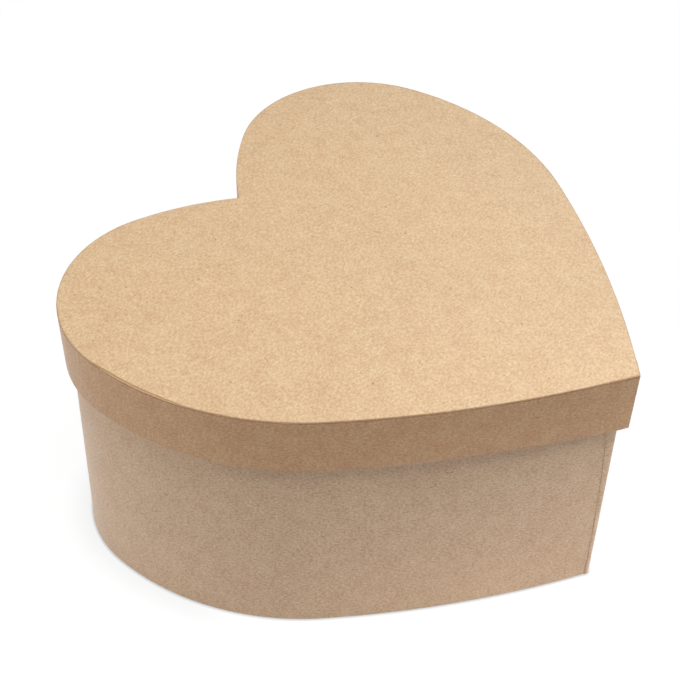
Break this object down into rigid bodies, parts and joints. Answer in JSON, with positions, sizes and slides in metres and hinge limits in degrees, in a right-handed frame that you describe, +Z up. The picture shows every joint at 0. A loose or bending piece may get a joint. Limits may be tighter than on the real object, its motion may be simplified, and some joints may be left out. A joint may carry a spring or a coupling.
{
  "type": "heart gift box",
  "caption": "Heart-shaped rigid gift box of kraft-covered board with a lift-off lid that telescopes over the base.",
  "frame": {"origin": "on the surface that the box stands on, on the centre line, midway between the heart's tip and the crowns of its lobes", "axes": "+Z up, the way the lid lifts; -Y towards the heart's tip; +Y towards the cleft; +X to the right lobe seen from the tip"},
  "size_m": [0.2, 0.1908, 0.105],
  "materials": {
    "lid_kraft": "matte",
    "base_kraft": "matte",
    "lining_kraft": "matte",
    "greyboard": "matte",
    "gummed_tape": "matte"
  },
  "bodies": {
    "base": {"base_bottom_board": "greyboard", "base_wall_band": "greyboard", "base_joint_tape": "gummed_tape", "base_wall_wrap": "base_kraft", "base_bottom_sheet": "base_kraft", "base_wall_liner": "lining_kraft", "base_floor_liner": "lining_kraft"},
    "lid": {"lid_top_board": "greyboard", "lid_rim_band": "greyboard", "lid_joint_tape": "gummed_tape", "lid_rim_wrap": "lid_kraft", "lid_face_sheet": "lid_kraft", "lid_ceiling_liner": "lining_kraft"}
  },
  "joints": [
    {"name": "lid_lift", "type": "slide", "parent": "base", "child": "lid", "axis": [0, 0, 1], "range_m": [0, 0.15]}
  ]
}
